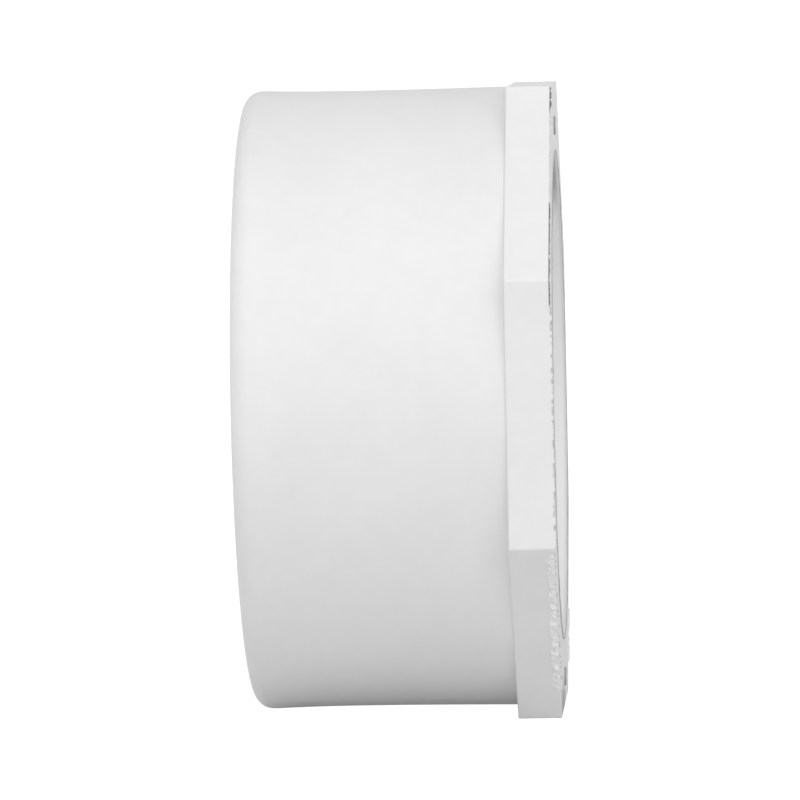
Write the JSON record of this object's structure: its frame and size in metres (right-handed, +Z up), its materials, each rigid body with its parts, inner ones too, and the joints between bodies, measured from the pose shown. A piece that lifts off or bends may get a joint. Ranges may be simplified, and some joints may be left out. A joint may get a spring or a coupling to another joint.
{
  "type": "spigot pipe cap",
  "caption": "White moulded plastic cap that closes a pipe hub: a short round cup, closed at one end, with an octagonal flange around its open mouth.",
  "frame": {"origin": "on the pipe axis, in the plane of the shoulder where the hub's rim stops against the flange", "axes": "+X along the pipe axis from the closed end to the open mouth, +Z up from the flange's bottom flat, +Y to the left of someone who looks along +X"},
  "size_m": [0.0443, 0.0896, 0.0896],
  "materials": {
    "white_pvc": "satin moulded rigid plastic with a soft sheen"
  },
  "bodies": {
    "root": {"cap_body": "white_pvc"}
  },
  "joints": []
}
